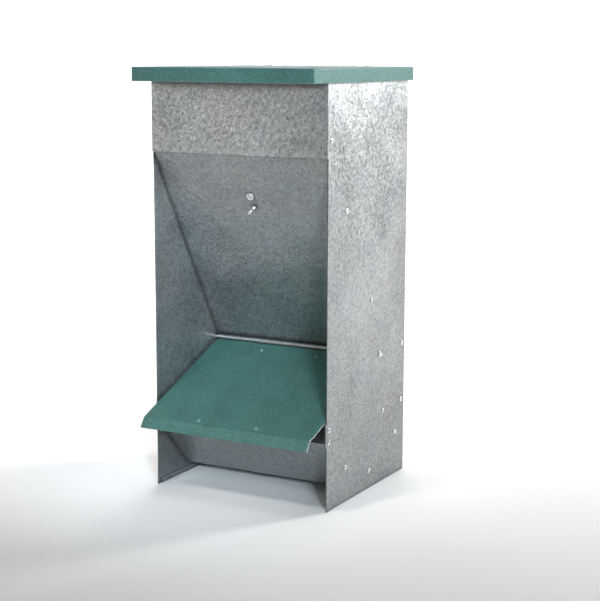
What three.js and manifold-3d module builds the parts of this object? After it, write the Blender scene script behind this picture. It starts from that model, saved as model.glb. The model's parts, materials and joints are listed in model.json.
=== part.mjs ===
// Galvanised hopper feeder for dogs, with a hinged lid, a feed flap and a flow gate.
// Millimetres, +Z up. X runs across the feeder and Y from the front to the back.

import * as THREE from "three";
import { mergeVertices } from "three/addons/utils/BufferGeometryUtils.js";
import Module from "manifold-3d";

const wasm = await Module();
wasm.setup();

// Body, in millimetres
const body_width = 300;
const body_depth = 268;
const total_height = 650;
const front_panel_height = 128;
const slope_foot_height = 211.2;
const throat_depth = 87.5;

// Sheet and folds
const sheet = 0.8;
const lap = 0.3;
const bend_radius = 1.6;
const hem_width = 9;
const flange_width = 20;
const corner_relief = 1.2;
const overrun = 5;
const arc_step = THREE.MathUtils.degToRad(30);

// Upper front panel and back panel
const front_overreach = 0.6;
const front_flange = 22;
const upstand_height = 40;
const foot_flange = 16;
const side_hem_end_gap = 18;

// Baffle under the slope
const baffle_height = 111;
const slope_flange_start = 14;

// Trough
const trough_lip_height = 104.6;
const trough_floor_height = 16.4;
const trough_wall_run = 83.6;
const deflector_run = 78;
const deflector_tilt = THREE.MathUtils.degToRad(40);
const trough_flange = 18;
const trough_upstand = 15;
const ear_depth = 15;
const ear_drop = 7;
const ear_margin = 3;
const seat_height = 132.95;
const seat_width = 10;
const slit_width = 1;

// Feed flap, measured from the axis of its rod
const rod_radius = 2.5;
const rod_play = 0.7;
const rod_drop = 3.7;
const baffle_gap = 1;
const rod_overhang = 3.6;
const flap_length = 235;
const flap_side_gap = 4.2;
const lip_length = 17.5;
const lip_bend = THREE.MathUtils.degToRad(33.5);
const lip_radius = 3;
const hinge_leaf = 31;
const curl_gap = 1.5;
const retainer_radius = 4.8;
const retainer_thickness = 1.2;
const retainer_dish = 0.7;
const stiffener_width = 17;
const stiffener_leg = 8;
const stiffener_setback = 4;
const stiffener_end_gap = 15;
const flap_rivet_share = 1 / 3;
const front_flap_rivet_setback = 8.8;
const rear_flap_rivet_setback = 7;

// Flow gate: its blade is measured up the slope from the foot, its fastenings down from the seam
const gate_margin = 10;
const gate_blade = 110;
const gate_overhang = 25;
const gate_stem = 50;
const gate_rim = 12;
const gate_top_gap = 7;
const bolt_drop = 92.4;
const guide_drop = 72.4;
const bolt_radius = 2.5;
const bolt_length = 16;
const bolt_head_radius = 6;
const bolt_head_height = 3;
const washer_radius = 9;
const washer_thickness = 1.2;
const guide_head_radius = 6.6;
const guide_head_height = 2.4;
const guide_well_radius = 3;
const guide_tail_radius = 5.5;
const guide_tail_height = 1.8;
const hub_radius = 4.6;
const hub_height = 7;
const wing_reach = 11;
const wing_height = 12;
const wing_radius = 3.4;
const wing_thickness = 2;
const wing_turn = THREE.MathUtils.degToRad(40);

// Lid and its hinges
const lid_front_overhang = 50;
const lid_back_overhang = 13;
const lid_side_overhang = 3.2;
const lid_flange = 21;
const lid_radius = 2.4;
const leaf_plate = 1.2;
const leaf_width = 42;
const leaf_reach = 28;
const hinge_pin_radius = 1.75;
const hinge_pin_play = 0.25;
const hinge_pin_head = 0.6;
const hinge_share = 0.5;
const leaf_rivet_share = 0.28;
const leaf_rivet_inset = 9;

// Rivets
const rivet_head_radius = 4;
const rivet_head_height = 1.3;
const rivet_shank_radius = 2;
const rivet_tail_radius = 3;
const rivet_tail_height = 2.4;
const rivet_well_radius = 1.1;
const rivet_well_depth = 0.9;
const rivet_crown_share = 0.72;

// Rivet places on each side, from the edges and along the flanges that they hold
const front_rivet_setback = 9.7;
const front_rivet_rise = 26;
const slope_rivet_offset = 11.5;
const slope_rivet_shares = [0.273, 0.738];
const baffle_rivet_offset = 8.4;
const baffle_rivet_rise = 13.8;
const wall_rivet_offset = 9;
const wall_rivet_share = 0.64;
const floor_rivet_offset = 12;
const floor_rivet_share = 0.55;
const deflector_rivet_offset = 11.5;
const deflector_rivet_share = 0.69;
const ear_rivet_setback = 6.4;
const ear_rivet_rise = 0.6;
const ear_rivet_share = 0.6;
const back_rivet_setback = 11;
const back_rivet_heights = [118.6, 211.3];

// Facets
const rivet_sides = 10;
const hole_sides = 8;
const round_sides = 20;
const arc_segments = 4;

// Derived places
const half_width = body_width / 2;
const hem_pitch = sheet + lap;
const hem_radius = hem_pitch / 2;
const hem_reach = hem_radius + sheet / 2;
const inner_face = half_width - sheet - lap;
const flange_line = inner_face - sheet / 2;
const clear_reach = inner_face - sheet - corner_relief;
const baffle_front = body_depth - throat_depth;
const seam_height = total_height - front_panel_height;
const lid_underside = total_height - sheet;
const panel_top = lid_underside - lap;

const slope_seam = new THREE.Vector2(sheet / 2, seam_height);
const slope_foot = new THREE.Vector2(baffle_front + sheet / 2, slope_foot_height);
const slope_length = slope_seam.distanceTo(slope_foot);
const bolt_height = slope_length - bolt_drop;
const guide_height = slope_length - guide_drop;
const slope_tilt = Math.atan2(slope_foot.x - slope_seam.x, slope_seam.y - slope_foot.y);
const down_slope = slope_foot.clone().sub(slope_seam).normalize();
const into_hopper = new THREE.Vector2(-down_slope.y, down_slope.x);

const barrel_line = rod_radius + rod_play + sheet / 2;
const barrel_radius = barrel_line + sheet / 2;
const rod_y = baffle_front - baffle_gap - barrel_radius;
const rod_z = slope_foot_height - rod_drop;
const flap_half = half_width - flap_side_gap;
const flap_line = -barrel_line + hem_pitch;
const flap_underside = flap_line - hem_reach - hem_radius;

const wall_top = new THREE.Vector2(sheet + lap, trough_lip_height);
const wall_foot = new THREE.Vector2(wall_top.x + trough_wall_run, trough_floor_height);
const floor_end = new THREE.Vector2(body_depth - deflector_run, trough_floor_height);
const deflector_end_y = body_depth - hem_pitch - sheet / 2;
const deflector_rise = (deflector_end_y - floor_end.x) * Math.tan(deflector_tilt);
const deflector_top = new THREE.Vector2(deflector_end_y, floor_end.y + deflector_rise);
const ear_front = -lap - sheet;
const ear_bottom = trough_lip_height - ear_drop;

// The flap rests on the ears' seats, which set its tilt
const seat_offset = flap_underside - lap;
const seat_run = rod_y - ear_front;
const seat_fall = rod_z - seat_height;
const seat_angle = Math.acos(-seat_offset / Math.hypot(seat_run, seat_fall));
const flap_tilt = seat_angle - Math.atan2(seat_run, seat_fall);

// The height of a line under the flap at rest, at a depth and an offset from the axis of its rod
const seatHeight = (y, offset) => (
  rod_z + offset / Math.cos(flap_tilt) - (rod_y - y) * Math.tan(flap_tilt)
);

const knuckle_radius = hinge_pin_radius + hinge_pin_play + leaf_plate;
const knuckle_line = knuckle_radius - leaf_plate / 2;
const hinge_y = body_depth + lap + knuckle_radius;
const hinge_z = lid_underside - lap - knuckle_radius;
const back_top = lid_underside - 2 * lap - leaf_plate - lap;

const galvanised = new THREE.MeshStandardMaterial({ color: 0x9aa2a3, roughness: 0.45, metalness: 0.85 });
const green_paint = new THREE.MeshStandardMaterial({ color: 0x3f8576, roughness: 0.35, metalness: 0 });
const bright_steel = new THREE.MeshStandardMaterial({ color: 0xc9cdcf, roughness: 0.3, metalness: 0.9 });

// Solids from geometries, and back
function toSolid(geometry) {
  geometry.deleteAttribute("normal");
  geometry.deleteAttribute("uv");
  const merged = mergeVertices(geometry);
  return new wasm.Manifold(new wasm.Mesh({
    numProp: 3,
    vertProperties: merged.attributes.position.array,
    triVerts: Uint32Array.from(merged.index.array),
  }));
}

function toGeometry(solid) {
  const { vertProperties, triVerts, numProp } = solid.getMesh();
  const geometry = new THREE.BufferGeometry();
  geometry.setAttribute("position", new THREE.BufferAttribute(vertProperties, numProp));
  geometry.setIndex(new THREE.BufferAttribute(triVerts, 1));
  geometry.computeVertexNormals();
  return geometry;
}

function join(...solids) {
  return solids.flat().reduce((whole, piece) => whole.add(piece));
}

function cut(solid, ...cutters) {
  return cutters.flat().reduce((left, cutter) => left.subtract(cutter), solid);
}

function toPoint(place) {
  return Array.isArray(place) ? new THREE.Vector2(place[0], place[1]) : place;
}

function outline(places) {
  return new THREE.Shape(places.map(toPoint));
}

// The outline of a folded sheet: a centre line whose corners become bends.
// A place is a point, or [first, second, radius] where its bend differs from the rest.
function folded(places, radius, thickness = sheet) {
  const line = places.map(toPoint);
  const left = [];
  const right = [];
  const put = (point, normal) => {
    left.push(point.clone().addScaledVector(normal, thickness / 2));
    right.push(point.clone().addScaledVector(normal, -thickness / 2));
  };
  const normalOf = (direction) => new THREE.Vector2(-direction.y, direction.x);
  line.forEach((corner, index) => {
    const before = line[index - 1];
    const after = line[index + 1];
    if (!before || !after) {
      const direction = before ? corner.clone().sub(before) : after.clone().sub(corner);
      put(corner, normalOf(direction.normalize()));
      return;
    }
    const into = corner.clone().sub(before).normalize();
    const out = after.clone().sub(corner).normalize();
    const turn = Math.atan2(into.cross(out), into.dot(out));
    const bend = places[index][2] ?? radius;
    const start = corner.clone().addScaledVector(into, -bend * Math.tan(Math.abs(turn) / 2));
    const centre = start.clone().addScaledVector(normalOf(into), bend * Math.sign(turn));
    const steps = Math.max(1, Math.round(Math.abs(turn) / arc_step));
    for (let step = 0; step <= steps; step += 1) {
      const point = start.clone().rotateAround(centre, (turn * step) / steps);
      put(point, point.clone().sub(centre).multiplyScalar(-Math.sign(turn)).normalize());
    }
  });
  return new THREE.Shape([...left, ...right.reverse()]);
}

// Extrusions whose outlines lie in Y and Z, in X and Z, or in X and Y
const axes = [new THREE.Vector3(1, 0, 0), new THREE.Vector3(0, 1, 0), new THREE.Vector3(0, 0, 1)];
const [axis_x, axis_y, axis_z] = axes;
const across = new THREE.Matrix4().makeBasis(axis_y, axis_z, axis_x);
const forward = new THREE.Matrix4().makeBasis(axis_x, axis_z, axis_y.clone().negate());

function prism(shape, from, to, frame) {
  const geometry = new THREE.ExtrudeGeometry(shape, {
    depth: to - from,
    bevelEnabled: false,
    curveSegments: arc_segments,
  });
  geometry.translate(0, 0, from);
  geometry.applyMatrix4(frame);
  return toSolid(geometry);
}

const alongX = (shape, from, to) => prism(shape, from, to, across);
const alongY = (shape, from, to) => prism(shape, -to, -from, forward);
const alongZ = (shape, from, to) => prism(shape, from, to, new THREE.Matrix4());

// The two X values of a span on one side, in rising order
const sideFaces = (side, near, far) => [side * near, side * far].sort((a, b) => a - b);

function rectangle(left, right, low, high) {
  return outline([[left, low], [right, low], [right, high], [left, high]]);
}

// A round bar about an axis through a point
function bar(radius, length, at, direction, sides) {
  const geometry = new THREE.CylinderGeometry(radius, radius, length, sides);
  geometry.applyQuaternion(new THREE.Quaternion().setFromUnitVectors(axis_y, direction));
  geometry.translate(at.x, at.y, at.z);
  return toSolid(geometry);
}

// A turned piece about Y, from pairs of radius and height
function turned(profile, sides) {
  return new THREE.LatheGeometry(profile.map(toPoint), sides);
}

const feeder = new THREE.Group();
const body = new THREE.Group();
feeder.add(body);

function place(parent, name, geometry, material) {
  const mesh = new THREE.Mesh(geometry, material);
  mesh.name = name;
  parent.add(mesh);
  return mesh;
}

// Rivets. Each is known by the point under its head, the way that it faces and what it grips.
const grip_two = 2 * sheet + lap;

function sideRivet(name, side, y, z) {
  const at = new THREE.Vector3(side * half_width, y, z);
  const out = new THREE.Vector3(side, 0, 0);
  return { name: `${name}_${side < 0 ? "left" : "right"}`, at, out, grip: grip_two };
}

function alongFlange(start, end, share, offset) {
  const direction = end.clone().sub(start);
  const inward = new THREE.Vector2(-direction.y, direction.x).normalize();
  return start.clone().addScaledVector(direction, share).addScaledVector(inward, offset);
}

function sideRivets(side) {
  const put = (name, point) => sideRivet(name, side, point.x, point.y);
  const back_y = body_depth - back_rivet_setback;
  const ear_seat = seatHeight(ear_rivet_setback, seat_offset);
  const ear_low = trough_lip_height + ear_rivet_rise;
  const ear_high = THREE.MathUtils.lerp(ear_low, ear_seat, ear_rivet_share);
  return {
    front: [sideRivet("front_rivet", side, front_rivet_setback, seam_height + front_rivet_rise)],
    slope: [
      ...slope_rivet_shares.map((share, index) => put(
        `slope_rivet_${index + 1}`,
        alongFlange(slope_seam, slope_foot, share, slope_rivet_offset),
      )),
      sideRivet(
        "baffle_rivet",
        side,
        slope_foot.x + baffle_rivet_offset,
        slope_foot.y - baffle_height + baffle_rivet_rise,
      ),
    ],
    trough: [
      put("trough_wall_rivet", alongFlange(wall_top, wall_foot, wall_rivet_share, wall_rivet_offset)),
      put("trough_floor_rivet", alongFlange(wall_foot, floor_end, floor_rivet_share, floor_rivet_offset)),
      put(
        "deflector_rivet",
        alongFlange(floor_end, deflector_top, deflector_rivet_share, deflector_rivet_offset),
      ),
      sideRivet("ear_rivet_1", side, ear_rivet_setback, ear_low),
      sideRivet("ear_rivet_2", side, ear_rivet_setback, ear_high),
    ],
    back: back_rivet_heights.map((height, index) => (
      sideRivet(`back_rivet_${index + 1}`, side, back_y, height)
    )),
  };
}

const left_rivets = sideRivets(-1);
const right_rivets = sideRivets(1);
const bothSides = (kind) => [...left_rivets[kind], ...right_rivets[kind]];

function rivetHole(rivet) {
  const centre = rivet.at.clone().addScaledVector(rivet.out, -rivet.grip / 2);
  return bar(rivet_shank_radius + lap, rivet.grip + 2 * overrun, centre, rivet.out, hole_sides);
}

function rivetGeometry(grip) {
  const head_top = lap + rivet_head_height;
  const tail_top = -grip - lap;
  return turned([
    [0, tail_top - rivet_tail_height],
    [rivet_tail_radius, tail_top - rivet_tail_height],
    [rivet_tail_radius, tail_top],
    [rivet_shank_radius, tail_top],
    [rivet_shank_radius, lap],
    [rivet_head_radius, lap],
    [rivet_head_radius * rivet_crown_share, head_top],
    [rivet_well_radius, head_top],
    [0, head_top - rivet_well_depth],
  ], rivet_sides);
}

function addRivet(parent, rivet, material = bright_steel) {
  const mesh = place(parent, rivet.name, rivetGeometry(rivet.grip), material);
  mesh.position.copy(rivet.at);
  mesh.quaternion.setFromUnitVectors(axis_y, rivet.out);
}

// Side panels: a flat sheet with hems folded inward along the front and the bottom.
// The front hem stops at the trough's ear and below the seam.
const ear_top = seatHeight(ear_depth, seat_offset);
const hem_zones = [
  [hem_width + lap, ear_bottom - ear_margin],
  [ear_top + ear_margin, seam_height - side_hem_end_gap],
];

function sidePanel(side, rivets) {
  const plate_outline = [
    [0, 0],
    [hem_width, 0],
    [hem_width, hem_reach],
    [body_depth - hem_pitch, hem_reach],
    [body_depth - hem_pitch, 0],
    [body_depth, 0],
    [body_depth, panel_top],
    [0, panel_top],
  ];
  for (const [low, high] of [...hem_zones].reverse()) {
    plate_outline.push([0, high], [hem_reach, high], [hem_reach, low], [0, low]);
  }
  const plate = alongX(outline(plate_outline), ...sideFaces(side, half_width - sheet, half_width));
  const hem_line = [
    [side * (half_width - sheet / 2), hem_width],
    [side * (half_width - sheet / 2), sheet / 2],
    [side * flange_line, sheet / 2],
    [side * flange_line, hem_width],
  ];
  const hem = folded(hem_line, hem_radius);
  const front_hems = hem_zones.map(([low, high]) => alongZ(hem, low, high));
  const bottom_hem = alongY(hem, hem_width, body_depth - hem_pitch);
  const rod_at = new THREE.Vector3(side * half_width, rod_y, rod_z);
  const rod_hole = bar(rod_radius + lap, 2 * overrun, rod_at, axis_x, round_sides);
  return cut(join(plate, front_hems, bottom_hem), rod_hole, rivets.map(rivetHole));
}

for (const [side, name, rivets] of [[-1, "left", left_rivets], [1, "right", right_rivets]]) {
  const panel = sidePanel(side, Object.values(rivets).flat());
  place(body, `side_panel_${name}`, toGeometry(panel), galvanised);
}

// Back panel: side flanges, a foot turned forward on the floor and a hem along the top
const hinge_places = [-1, 1].map((side) => side * hinge_share * half_width);
const leaf_rivet_x = hinge_places.map((x) => (
  [-1, 1].map((side) => x + side * leaf_rivet_share * leaf_width)
));
const leaf_foot = hinge_z - knuckle_radius - leaf_reach;
const leaf_front = hinge_y - knuckle_radius - leaf_reach;
const leaf_grip = leaf_plate + lap + sheet;

const hinge_names = ["left", "right"];
const leafRivets = (kind, placeOf) => leaf_rivet_x.flatMap((pair, hinge) => pair.map((x, index) => ({
  name: `${kind}_${hinge_names[hinge]}_${index + 1}`,
  grip: leaf_grip,
  ...placeOf(x),
})));
const back_leaf_rivets = leafRivets("back_leaf_rivet", (x) => ({
  at: new THREE.Vector3(x, body_depth + lap + leaf_plate, leaf_foot + leaf_rivet_inset),
  out: axis_y,
}));
const lid_leaf_rivets = leafRivets("lid_leaf_rivet", (x) => ({
  at: new THREE.Vector3(x, leaf_front + leaf_rivet_inset, total_height),
  out: axis_z,
}));

function backPanel() {
  const line_y = body_depth - sheet / 2;
  const flange_front = body_depth - flange_width;
  const shell = folded([
    [-flange_line, flange_front],
    [-flange_line, line_y],
    [flange_line, line_y],
    [flange_line, flange_front],
  ], bend_radius);
  const foot = folded([
    [line_y, hem_width + overrun],
    [line_y, sheet / 2],
    [body_depth - foot_flange, sheet / 2],
  ], bend_radius);
  const top_hem = folded([
    [line_y, back_top - hem_width],
    [line_y, back_top - sheet / 2],
    [line_y - hem_pitch, back_top - sheet / 2],
    [line_y - hem_pitch, back_top - hem_width],
  ], hem_radius);
  return cut(
    join(
      alongZ(shell, hem_width + lap, back_top - hem_reach),
      alongX(foot, -clear_reach, clear_reach),
      alongX(top_hem, -clear_reach, clear_reach),
    ),
    bothSides("back").map(rivetHole),
    back_leaf_rivets.map(rivetHole),
  );
}

place(body, "back_panel", toGeometry(backPanel()), galvanised);

// Upper front panel: its edges are hemmed and stand proud of the side panels,
// and flanges turn back from them inside the hopper
function upperFrontPanel() {
  const inner_line = -lap - sheet / 2;
  const outer_line = inner_line - hem_pitch;
  const edge_line = half_width + front_overreach - sheet / 2;
  const half = [
    [flange_line, front_flange],
    [flange_line, inner_line],
    [edge_line, inner_line],
    [edge_line, outer_line],
  ];
  const mirrored = half.map(([x, y]) => [-x, y]).reverse();
  const hem = (end, way) => folded([
    [outer_line, end + way * 2 * hem_width],
    [outer_line, end + way * sheet / 2],
    [inner_line, end + way * sheet / 2],
    [inner_line, end + way * hem_width],
  ], hem_radius);
  return cut(
    join(
      alongZ(folded([...half, ...mirrored], hem_radius), seam_height + hem_reach, panel_top - hem_reach),
      alongX(hem(seam_height, 1), -clear_reach, clear_reach),
      alongX(hem(panel_top, -1), -clear_reach, clear_reach),
    ),
    bothSides("front").map(rivetHole),
  );
}

place(body, "upper_front_panel", toGeometry(upperFrontPanel()), galvanised);

// Slope panel: an upstand behind the front panel, the slope and a baffle that hangs from its foot
const slopePoint = (height, offset) => (
  slope_foot.clone().addScaledVector(down_slope, -height).addScaledVector(into_hopper, offset)
);
const slopePlace = (height, offset) => {
  const point = slopePoint(height, offset);
  return new THREE.Vector3(0, point.x, point.y);
};
const out_of_slope = new THREE.Vector3(0, -into_hopper.x, -into_hopper.y);

function slopePanel() {
  const baffle_end = slope_foot.y - baffle_height;
  const upper_line = [
    [slope_seam.x, seam_height + upstand_height],
    slope_seam,
    slopePoint(slope_length / 2, 0),
  ];
  const lower_line = [
    slopePoint(slope_length - slope_flange_start, 0),
    slope_foot,
    [slope_foot.x, baffle_end + sheet / 2, hem_radius],
    [slope_foot.x + hem_pitch, baffle_end + sheet / 2, hem_radius],
    [slope_foot.x + hem_pitch, baffle_end + hem_width],
  ];
  const narrow = alongX(folded(upper_line, bend_radius), -clear_reach, clear_reach);
  const wide = alongX(folded(lower_line, bend_radius), -inner_face, inner_face);
  const slope_flange = outline([
    slopePoint(slope_length - slope_flange_start, 0),
    slopePoint(corner_relief, 0),
    slopePoint(corner_relief, flange_width),
    slopePoint(slope_length - slope_flange_start - flange_width, flange_width),
  ]);
  const baffle_flange = rectangle(
    slope_foot.x,
    baffle_front + flange_width,
    baffle_end + hem_width + corner_relief,
    slope_foot.y - corner_relief,
  );
  const flanges = [-1, 1].flatMap((side) => (
    [slope_flange, baffle_flange].map((shape) => (
      alongX(shape, ...sideFaces(side, inner_face - sheet, inner_face))
    ))
  ));
  const bolt_holes = [bolt_height, guide_height].map((height) => (
    bar(bolt_radius + lap, 2 * overrun, slopePlace(height, 0), out_of_slope, round_sides)
  ));
  return cut(join(narrow, wide, flanges), bolt_holes, bothSides("slope").map(rivetHole));
}

place(body, "slope_panel", toGeometry(slopePanel()), galvanised);

// Trough pan: a sloping front wall with a hemmed lip, the floor and a deflector up to the back panel.
// Flanges stand inside the side panels and end at the front in ears that carry the flap's seats.
function mitre(before, corner, after, offset) {
  const into = corner.clone().sub(before).normalize();
  const out = after.clone().sub(corner).normalize();
  const normal = new THREE.Vector2(-into.y - out.y, into.x + out.x).normalize();
  const reach = offset / normal.dot(new THREE.Vector2(-into.y, into.x));
  return corner.clone().addScaledVector(normal, reach);
}

function lineAt(start, end, y) {
  const share = (y - start.x) / (end.x - start.x);
  return start.clone().lerp(end, share);
}

function troughPan() {
  const down_wall = wall_foot.clone().sub(wall_top).normalize();
  const wall_outward = new THREE.Vector2(down_wall.y, -down_wall.x);
  const lip_front = wall_top.clone().addScaledVector(wall_outward, hem_pitch);
  const pan_line = folded([
    lip_front.clone().addScaledVector(down_wall, hem_width),
    [...lip_front.toArray(), hem_radius],
    [...wall_top.toArray(), hem_radius],
    wall_foot,
    floor_end,
    deflector_top,
    [deflector_top.x, deflector_top.y + trough_upstand],
  ], bend_radius);
  const pan = alongX(pan_line, -inner_face, inner_face);

  const flange_back = body_depth - flange_width - corner_relief;
  const band_top = mitre(wall_top, wall_foot, floor_end, trough_flange);
  const band_rear = mitre(wall_foot, floor_end, deflector_top, trough_flange);
  const inward = new THREE.Vector2(-down_wall.y, down_wall.x);
  const band_start = wall_top.clone().addScaledVector(inward, trough_flange);
  const deflector = deflector_top.clone().sub(floor_end).normalize();
  const band_end = band_rear.clone().add(deflector);
  const flange = outline([
    [ear_front, ear_bottom],
    lineAt(wall_top, wall_foot, wall_top.x + (wall_top.y - ear_bottom) * down_wall.x / -down_wall.y),
    wall_foot,
    floor_end,
    lineAt(floor_end, deflector_top, flange_back),
    lineAt(band_rear, band_end, flange_back),
    band_rear,
    band_top,
    lineAt(band_start, band_top, ear_depth),
    [ear_depth, seatHeight(ear_depth, seat_offset)],
    [ear_front, seatHeight(ear_front, seat_offset)],
  ]);
  const seat_thickness = sheet / Math.cos(flap_tilt);
  const seat = outline([
    [ear_front, seatHeight(ear_front, seat_offset)],
    [ear_depth, seatHeight(ear_depth, seat_offset)],
    [ear_depth, seatHeight(ear_depth, seat_offset) - seat_thickness],
    [ear_front, seatHeight(ear_front, seat_offset) - seat_thickness],
  ]);
  const wrap = rectangle(ear_front, -lap, ear_bottom, seatHeight(ear_front, seat_offset));
  const spans = [
    [inner_face - sheet, inner_face, flange],
    [inner_face - seat_width, inner_face, seat],
    [inner_face - sheet, half_width, wrap],
  ];
  const flanges = [-1, 1].flatMap((side) => (
    spans.map(([near, far, shape]) => alongX(shape, ...sideFaces(side, near, far)))
  ));

  const slit = (corner, far) => {
    const direction = far.clone().sub(corner).normalize();
    const aside = new THREE.Vector2(-direction.y, direction.x).multiplyScalar(slit_width / 2);
    const start = corner.clone().addScaledVector(direction, bend_radius + sheet);
    const end = far.clone().addScaledVector(direction, overrun);
    const near_edge = [start, end].map((point) => point.clone().sub(aside));
    const far_edge = [end, start].map((point) => point.clone().add(aside));
    return alongX(outline([...near_edge, ...far_edge]), -half_width, half_width);
  };
  const rear_corner = rectangle(flange_back, body_depth, trough_floor_height, seam_height);
  const rear_corners = [-1, 1].map((side) => (
    alongX(rear_corner, ...sideFaces(side, inner_face - sheet - bend_radius, half_width))
  ));
  return cut(
    join(pan, flanges),
    slit(wall_foot, band_top),
    slit(floor_end, band_rear),
    rear_corners,
    bothSides("trough").map(rivetHole),
  );
}

place(body, "trough_pan", toGeometry(troughPan()), galvanised);

for (const rivet of ["front", "slope", "trough", "back"].flatMap(bothSides)) {
  addRivet(body, rivet);
}
back_leaf_rivets.forEach((rivet) => addRivet(body, rivet));

// Flow gate: a wide blade inside the hopper, whose slotted stem slides under a bolt and a guide stud.
// Its group lies in the slope, with Y into the hopper and Z up the slope.
const slope_group = new THREE.Group();
slope_group.position.set(0, slope_foot.x, slope_foot.y);
slope_group.rotation.x = slope_tilt;
body.add(slope_group);

const gate_face = sheet / 2 + lap;
const slot_radius = bolt_radius + lap;
const stem_top = slope_length - gate_top_gap;
const slot_top = stem_top - gate_rim - slot_radius;

function flowGate() {
  const blade_half = inner_face - sheet - gate_margin;
  const blade_top = gate_blade - gate_overhang;
  const plate = outline([
    [-blade_half, -gate_overhang],
    [blade_half, -gate_overhang],
    [blade_half, blade_top - gate_stem],
    [gate_stem / 2, blade_top],
    [gate_stem / 2, stem_top],
    [-gate_stem / 2, stem_top],
    [-gate_stem / 2, blade_top],
    [-blade_half, blade_top - gate_stem],
  ]);
  const slot = new THREE.Path();
  slot.absarc(0, bolt_height, slot_radius, Math.PI, 2 * Math.PI);
  slot.absarc(0, slot_top, slot_radius, 0, Math.PI);
  plate.holes.push(slot);
  const flat = alongY(plate, gate_face, gate_face + sheet);
  const line = gate_face + sheet / 2;
  const hem = folded([
    [line, -gate_overhang + hem_width],
    [line, -gate_overhang - sheet / 2],
    [line + hem_pitch, -gate_overhang - sheet / 2],
    [line + hem_pitch, -gate_overhang + hem_width],
  ], hem_radius);
  return join(flat, alongX(hem, -blade_half, blade_half));
}

place(slope_group, "flow_gate", toGeometry(flowGate()), galvanised);

const outer_face = -sheet / 2;
const gate_back = gate_face + sheet;
const washer_back = gate_back + lap + washer_thickness;
const washer = place(slope_group, "gate_washer", turned([
  [bolt_radius + lap, gate_back + lap],
  [washer_radius, gate_back + lap],
  [washer_radius, washer_back],
  [bolt_radius + lap, washer_back],
  [bolt_radius + lap, gate_back + lap],
], round_sides), bright_steel);
washer.position.z = bolt_height;

const gate_bolt = place(slope_group, "gate_bolt", turned([
  [0, outer_face - bolt_length],
  [bolt_radius - lap, outer_face - bolt_length],
  [bolt_radius, outer_face - bolt_length + lap],
  [bolt_radius, washer_back + lap],
  [bolt_head_radius, washer_back + lap],
  [bolt_head_radius * rivet_crown_share, washer_back + bolt_head_height * rivet_crown_share],
  [0, washer_back + bolt_head_height],
], round_sides), bright_steel);
gate_bolt.position.z = bolt_height;

const guide_stud = place(slope_group, "gate_guide_stud", turned([
  [0, outer_face - lap - guide_head_height / 2],
  [guide_well_radius / 2, outer_face - lap - guide_head_height / 2],
  [guide_well_radius, outer_face - lap - guide_head_height],
  [guide_head_radius * rivet_crown_share, outer_face - lap - guide_head_height],
  [guide_head_radius, outer_face - lap - guide_head_height / 2],
  [guide_head_radius, outer_face - lap],
  [bolt_radius, outer_face - lap],
  [bolt_radius, gate_back + lap],
  [guide_tail_radius, gate_back + lap],
  [guide_tail_radius * rivet_crown_share, gate_back + lap + guide_tail_height],
  [0, gate_back + lap + guide_tail_height],
], round_sides), bright_steel);
guide_stud.position.z = guide_height;

// Wing nut, built with its bore along Y and its foot at zero
function wingNut() {
  const hub = toSolid(turned([
    [bolt_radius + lap, 0],
    [hub_radius, 0],
    [hub_radius * rivet_crown_share, hub_height],
    [bolt_radius + lap, hub_height],
    [bolt_radius + lap, 0],
  ], round_sides));
  const wings = [-1, 1].map((side) => {
    const tip_x = side * (wing_reach - wing_radius);
    const tip_y = wing_height - wing_radius;
    const wing = new THREE.Shape();
    wing.moveTo(side * (bolt_radius + 2 * lap), lap);
    wing.lineTo(side * hub_radius, lap);
    wing.lineTo(tip_x + side * wing_radius, tip_y);
    wing.absarc(tip_x, tip_y, wing_radius, side > 0 ? 0 : Math.PI, side > 0 ? Math.PI : 0, side < 0);
    wing.lineTo(side * (bolt_radius + 2 * lap), hub_height - lap);
    return alongZ(wing, -wing_thickness / 2, wing_thickness / 2);
  });
  return join(hub, wings);
}

const wing_nut = place(slope_group, "gate_wing_nut", toGeometry(wingNut()), bright_steel);
wing_nut.position.set(0, outer_face - lap, bolt_height);
wing_nut.rotation.set(Math.PI, wing_turn, 0);

// Feed flap: its group turns about the rod, with -Y down the flap and +Z out of its top
const flap_group = new THREE.Group();
flap_group.position.set(0, rod_y, rod_z);
flap_group.rotation.x = flap_tilt;
body.add(flap_group);

const flap_top = flap_line + sheet / 2;
const flap_rivet_rows = [
  ["front", front_flap_rivet_setback - flap_length],
  ["rear", rear_flap_rivet_setback - hinge_leaf],
];
const [front_flap_rivets, rear_flap_rivets] = flap_rivet_rows.map(([row, y]) => (
  [-1, 1].map((side) => ({
    name: `flap_${row}_rivet_${side < 0 ? "left" : "right"}`,
    at: new THREE.Vector3(side * flap_rivet_share * half_width, y, flap_top),
    out: axis_z,
    grip: grip_two,
  }))
));
const flap_rivets = [...front_flap_rivets, ...rear_flap_rivets];

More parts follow.
